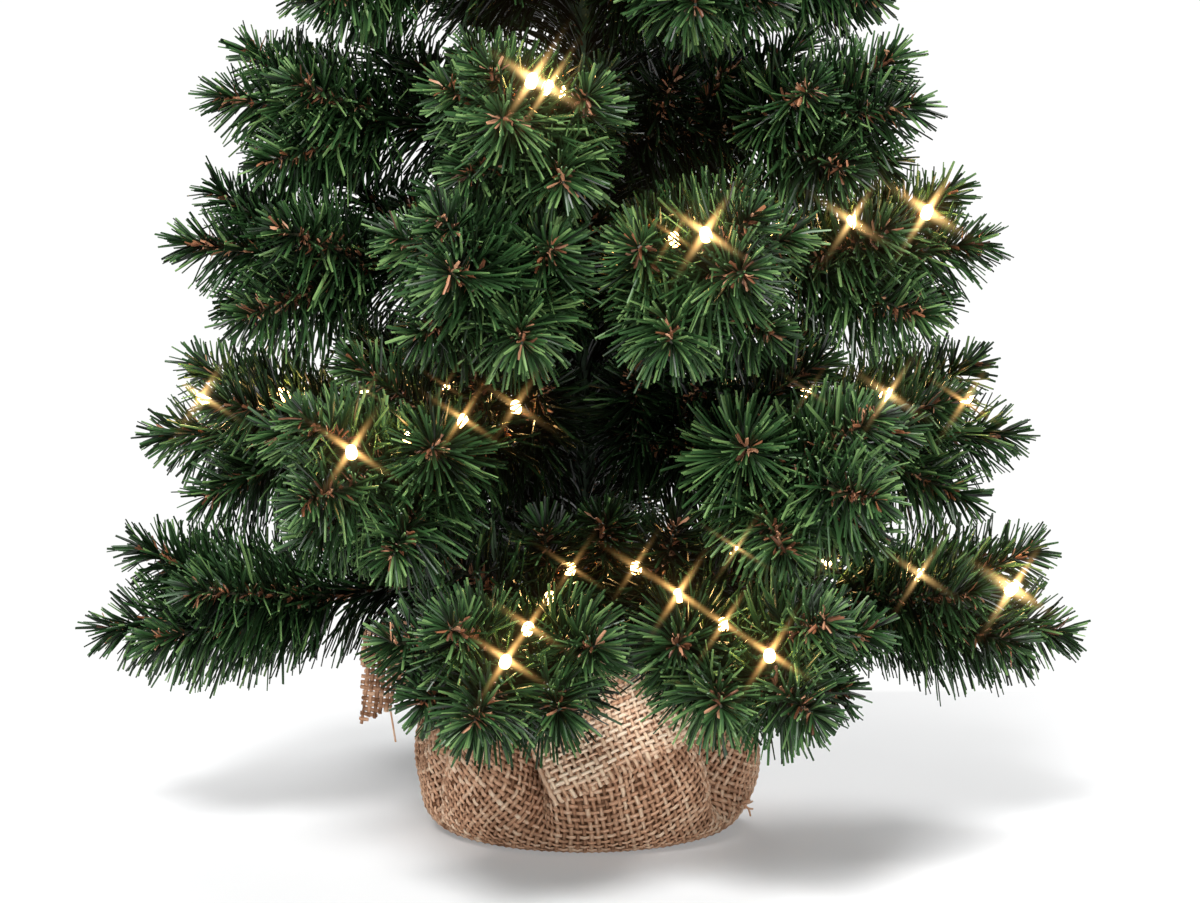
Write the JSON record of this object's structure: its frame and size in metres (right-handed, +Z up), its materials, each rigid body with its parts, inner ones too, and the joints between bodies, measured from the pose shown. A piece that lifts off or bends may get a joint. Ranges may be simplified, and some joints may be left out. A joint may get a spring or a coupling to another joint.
{
  "type": "artificial tabletop tree",
  "caption": "Small conical artificial pine with bendable needle branches, a battery light string and a weighted base tied in a burlap sack.",
  "frame": {"origin": "on the floor under the middle of the pole, at the centre of the sack's flat underside", "axes": "+Z up along the pole, -Y towards the front, +X to the right of someone facing the front"},
  "size_m": [0.4207, 0.413, 0.89],
  "materials": {
    "foliage": "brushes of glossy dark green needle strips, with rust-brown bark flecks along the wires",
    "burlap": "open plain-weave jute, frayed edges",
    "twine": "twisted jute",
    "pole": "steel rod wrapped in dark green tape",
    "tub_plastic": "moulded, matte",
    "cement": "cast, rough",
    "light_string": "thin green cable and sockets with clear, warm white bulbs",
    "box_plastic": "moulded, fine texture",
    "knob_plastic": "moulded, light satin",
    "cell": "plain sleeve, satin",
    "contact_metal": "nickel plated spring steel",
    "board": "solder mask"
  },
  "bodies": {
    "stand": {"burlap_wrap": "burlap", "base_tub": "tub_plastic", "cement_weight": "cement", "twine_tie": "twine", "trunk_pole": "pole", "top_leader": "foliage", "trunk_cable": "light_string", "battery_housing": "box_plastic", "battery_1": "cell", "battery_2": "cell", "battery_3": "cell", "contact_spring_strip": "contact_metal", "contact_plate_strip": "contact_metal", "control_board": "board"},
    "branch_01": {"branch_01": "foliage"},
    "branch_02": {"branch_02": "foliage", "light_run_02": "light_string"},
    "branch_03": {"branch_03": "foliage", "light_run_03": "light_string"},
    "branch_04": {"branch_04": "foliage", "light_run_04": "light_string"},
    "branch_05": {"branch_05": "foliage"},
    "branch_06": {"branch_06": "foliage", "light_run_06": "light_string"},
    "branch_07": {"branch_07": "foliage", "light_run_07": "light_string"},
    "branch_08": {"branch_08": "foliage"},
    "branch_09": {"branch_09": "foliage", "light_run_09": "light_string"},
    "branch_10": {"branch_10": "foliage"},
    "branch_11": {"branch_11": "foliage"},
    "branch_12": {"branch_12": "foliage"},
    "branch_13": {"branch_13": "foliage", "light_run_13": "light_string"},
    "branch_14": {"branch_14": "foliage", "light_run_14": "light_string"},
    "branch_15": {"branch_15": "foliage"},
    "branch_16": {"branch_16": "foliage"},
    "branch_17": {"branch_17": "foliage", "light_run_17": "light_string"},
    "branch_18": {"branch_18": "foliage"},
    "branch_19": {"branch_19": "foliage"},
    "branch_20": {"branch_20": "foliage", "light_run_20": "light_string"},
    "branch_21": {"branch_21": "foliage"},
    "branch_22": {"branch_22": "foliage"},
    "branch_23": {"branch_23": "foliage", "light_run_23": "light_string"},
    "branch_24": {"branch_24": "foliage"},
    "branch_25": {"branch_25": "foliage", "light_run_25": "light_string"},
    "branch_26": {"branch_26": "foliage"},
    "branch_27": {"branch_27": "foliage"},
    "branch_28": {"branch_28": "foliage"},
    "branch_29": {"branch_29": "foliage"},
    "branch_30": {"branch_30": "foliage"},
    "branch_31": {"branch_31": "foliage"},
    "branch_32": {"branch_32": "foliage"},
    "battery_lid": {"battery_lid": "box_plastic"},
    "switch_knob": {"switch_knob": "knob_plastic"}
  },
  "joints": [
    {"name": "branch_01_fold", "type": "hinge", "parent": "stand", "child": "branch_01", "pos_m": [-0.009, 0, 0.116], "axis": [0, 1, 0], "range_deg": [0, 41]},
    {"name": "branch_02_fold", "type": "hinge", "parent": "stand", "child": "branch_02", "pos_m": [-0.00187, -0.0088, 0.116], "axis": [-0.9781, 0.2079, 0], "range_deg": [0, 41]},
    {"name": "branch_03_fold", "type": "hinge", "parent": "stand", "child": "branch_03", "pos_m": [0.00394, -0.00809, 0.116], "axis": [-0.8988, -0.4384, 0], "range_deg": [0, 41]},
    {"name": "branch_04_fold", "type": "hinge", "parent": "stand", "child": "branch_04", "pos_m": [0.00899, -0.00031, 0.116], "axis": [-0.0349, -0.9994, 0], "range_deg": [0, 41]},
    {"name": "branch_05_fold", "type": "hinge", "parent": "stand", "child": "branch_05", "pos_m": [-0.00156, 0.00886, 0.116], "axis": [0.9848, 0.1736, 0], "range_deg": [0, 41]},
    {"name": "branch_06_fold", "type": "hinge", "parent": "stand", "child": "branch_06", "pos_m": [-0.0088, 0.00187, 0.179], "axis": [0.2079, 0.9781, 0], "range_deg": [0, 39]},
    {"name": "branch_07_fold", "type": "hinge", "parent": "stand", "child": "branch_07", "pos_m": [-0.00529, -0.00728, 0.179], "axis": [-0.809, 0.5878, 0], "range_deg": [0, 39]},
    {"name": "branch_08_fold", "type": "hinge", "parent": "stand", "child": "branch_08", "pos_m": [0.00554, -0.00709, 0.179], "axis": [-0.788, -0.6157, 0], "range_deg": [0, 39]},
    {"name": "branch_09_fold", "type": "hinge", "parent": "stand", "child": "branch_09", "pos_m": [0.0088, 0.00187, 0.179], "axis": [0.2079, -0.9781, 0], "range_deg": [0, 39]},
    {"name": "branch_10_fold", "type": "hinge", "parent": "stand", "child": "branch_10", "pos_m": [0.00031, 0.00899, 0.179], "axis": [0.9994, -0.0349, 0], "range_deg": [0, 39]},
    {"name": "branch_11_fold", "type": "hinge", "parent": "stand", "child": "branch_11", "pos_m": [-0.0088, -0.00187, 0.242], "axis": [-0.2079, 0.9781, 0], "range_deg": [0, 34]},
    {"name": "branch_12_fold", "type": "hinge", "parent": "stand", "child": "branch_12", "pos_m": [-0.00278, -0.00856, 0.242], "axis": [-0.9511, 0.309, 0], "range_deg": [0, 34]},
    {"name": "branch_13_fold", "type": "hinge", "parent": "stand", "child": "branch_13", "pos_m": [0.00337, -0.00834, 0.242], "axis": [-0.9272, -0.3746, 0], "range_deg": [0, 34]},
    {"name": "branch_14_fold", "type": "hinge", "parent": "stand", "child": "branch_14", "pos_m": [0.0088, -0.00187, 0.242], "axis": [-0.2079, -0.9781, 0], "range_deg": [0, 34]},
    {"name": "branch_15_fold", "type": "hinge", "parent": "stand", "child": "branch_15", "pos_m": [0.00156, 0.00886, 0.242], "axis": [0.9848, -0.1736, 0], "range_deg": [0, 34]},
    {"name": "branch_16_fold", "type": "hinge", "parent": "stand", "child": "branch_16", "pos_m": [-0.00895, -0.00094, 0.305], "axis": [-0.1045, 0.9945, 0], "range_deg": [0, 41]},
    {"name": "branch_17_fold", "type": "hinge", "parent": "stand", "child": "branch_17", "pos_m": [-0.00187, -0.0088, 0.305], "axis": [-0.9781, 0.2079, 0], "range_deg": [0, 41]},
    {"name": "branch_18_fold", "type": "hinge", "parent": "stand", "child": "branch_18", "pos_m": [0.00779, -0.0045, 0.305], "axis": [-0.5, -0.866, 0], "range_deg": [0, 41]},
    {"name": "branch_19_fold", "type": "hinge", "parent": "stand", "child": "branch_19", "pos_m": [0.00308, 0.00846, 0.305], "axis": [0.9397, -0.342, 0], "range_deg": [0, 41]},
    {"name": "branch_20_fold", "type": "hinge", "parent": "stand", "child": "branch_20", "pos_m": [-0.00846, -0.00308, 0.368], "axis": [-0.342, 0.9397, 0], "range_deg": [0, 40]},
    {"name": "branch_21_fold", "type": "hinge", "parent": "stand", "child": "branch_21", "pos_m": [0.0045, -0.00779, 0.368], "axis": [-0.866, -0.5, 0], "range_deg": [0, 40]},
    {"name": "branch_22_fold", "type": "hinge", "parent": "stand", "child": "branch_22", "pos_m": [0.009, 0, 0.368], "axis": [0, -1, 0], "range_deg": [0, 40]},
    {"name": "branch_23_fold", "type": "hinge", "parent": "stand", "child": "branch_23", "pos_m": [-0.00308, 0.00846, 0.368], "axis": [0.9397, 0.342, 0], "range_deg": [0, 40]},
    {"name": "branch_24_fold", "type": "hinge", "parent": "stand", "child": "branch_24", "pos_m": [-0.009, 0, 0.431], "axis": [0, 1, 0], "range_deg": [0, 40]},
    {"name": "branch_25_fold", "type": "hinge", "parent": "stand", "child": "branch_25", "pos_m": [-0.00125, -0.00891, 0.431], "axis": [-0.9903, 0.1392, 0], "range_deg": [0, 40]},
    {"name": "branch_26_fold", "type": "hinge", "parent": "stand", "child": "branch_26", "pos_m": [0.00308, 0.00846, 0.431], "axis": [0.9397, -0.342, 0], "range_deg": [0, 40]},
    {"name": "branch_27_fold", "type": "hinge", "parent": "stand", "child": "branch_27", "pos_m": [-0.00636, -0.00636, 0.494], "axis": [-0.7071, 0.7071, 0], "range_deg": [0, 34]},
    {"name": "branch_28_fold", "type": "hinge", "parent": "stand", "child": "branch_28", "pos_m": [0.00779, -0.0045, 0.494], "axis": [-0.5, -0.866, 0], "range_deg": [0, 34]},
    {"name": "branch_29_fold", "type": "hinge", "parent": "stand", "child": "branch_29", "pos_m": [0, 0.009, 0.494], "axis": [1, 0, 0], "range_deg": [0, 34]},
    {"name": "branch_30_fold", "type": "hinge", "parent": "stand", "child": "branch_30", "pos_m": [-0.00846, -0.00308, 0.557], "axis": [-0.342, 0.9397, 0], "range_deg": [0, 24]},
    {"name": "branch_31_fold", "type": "hinge", "parent": "stand", "child": "branch_31", "pos_m": [0.00308, -0.00846, 0.557], "axis": [-0.9397, -0.342, 0], "range_deg": [0, 24]},
    {"name": "branch_32_fold", "type": "hinge", "parent": "stand", "child": "branch_32", "pos_m": [0.00308, 0.00846, 0.557], "axis": [0.9397, -0.342, 0], "range_deg": [0, 24]},
    {"name": "battery_lid_slide", "type": "slide", "parent": "stand", "child": "battery_lid", "axis": [-1, 0, 0], "range_m": [0, 0.064]},
    {"name": "switch_knob_slide", "type": "slide", "parent": "stand", "child": "switch_knob", "axis": [0, 1, 0], "range_m": [0, 0.005]}
  ],
  "couplings": [
    {"joint": "branch_02_fold", "follows": "branch_01_fold", "ratio": 1},
    {"joint": "branch_03_fold", "follows": "branch_01_fold", "ratio": 1},
    {"joint": "branch_04_fold", "follows": "branch_01_fold", "ratio": 1},
    {"joint": "branch_05_fold", "follows": "branch_01_fold", "ratio": 1},
    {"joint": "branch_06_fold", "follows": "branch_01_fold", "ratio": 0.9512},
    {"joint": "branch_07_fold", "follows": "branch_01_fold", "ratio": 0.9512},
    {"joint": "branch_08_fold", "follows": "branch_01_fold", "ratio": 0.9512},
    {"joint": "branch_09_fold", "follows": "branch_01_fold", "ratio": 0.9512},
    {"joint": "branch_10_fold", "follows": "branch_01_fold", "ratio": 0.9512},
    {"joint": "branch_11_fold", "follows": "branch_01_fold", "ratio": 0.8292},
    {"joint": "branch_12_fold", "follows": "branch_01_fold", "ratio": 0.8292},
    {"joint": "branch_13_fold", "follows": "branch_01_fold", "ratio": 0.8292},
    {"joint": "branch_14_fold", "follows": "branch_01_fold", "ratio": 0.8292},
    {"joint": "branch_15_fold", "follows": "branch_01_fold", "ratio": 0.8292},
    {"joint": "branch_16_fold", "follows": "branch_01_fold", "ratio": 1},
    {"joint": "branch_17_fold", "follows": "branch_01_fold", "ratio": 1},
    {"joint": "branch_18_fold", "follows": "branch_01_fold", "ratio": 1},
    {"joint": "branch_19_fold", "follows": "branch_01_fold", "ratio": 1},
    {"joint": "branch_20_fold", "follows": "branch_01_fold", "ratio": 0.9756},
    {"joint": "branch_21_fold", "follows": "branch_01_fold", "ratio": 0.9756},
    {"joint": "branch_22_fold", "follows": "branch_01_fold", "ratio": 0.9756},
    {"joint": "branch_23_fold", "follows": "branch_01_fold", "ratio": 0.9756},
    {"joint": "branch_24_fold", "follows": "branch_01_fold", "ratio": 0.9756},
    {"joint": "branch_25_fold", "follows": "branch_01_fold", "ratio": 0.9756},
    {"joint": "branch_26_fold", "follows": "branch_01_fold", "ratio": 0.9756},
    {"joint": "branch_27_fold", "follows": "branch_01_fold", "ratio": 0.8292},
    {"joint": "branch_28_fold", "follows": "branch_01_fold", "ratio": 0.8292},
    {"joint": "branch_29_fold", "follows": "branch_01_fold", "ratio": 0.8292},
    {"joint": "branch_30_fold", "follows": "branch_01_fold", "ratio": 0.5853},
    {"joint": "branch_31_fold", "follows": "branch_01_fold", "ratio": 0.5853},
    {"joint": "branch_32_fold", "follows": "branch_01_fold", "ratio": 0.5853}
  ]
}
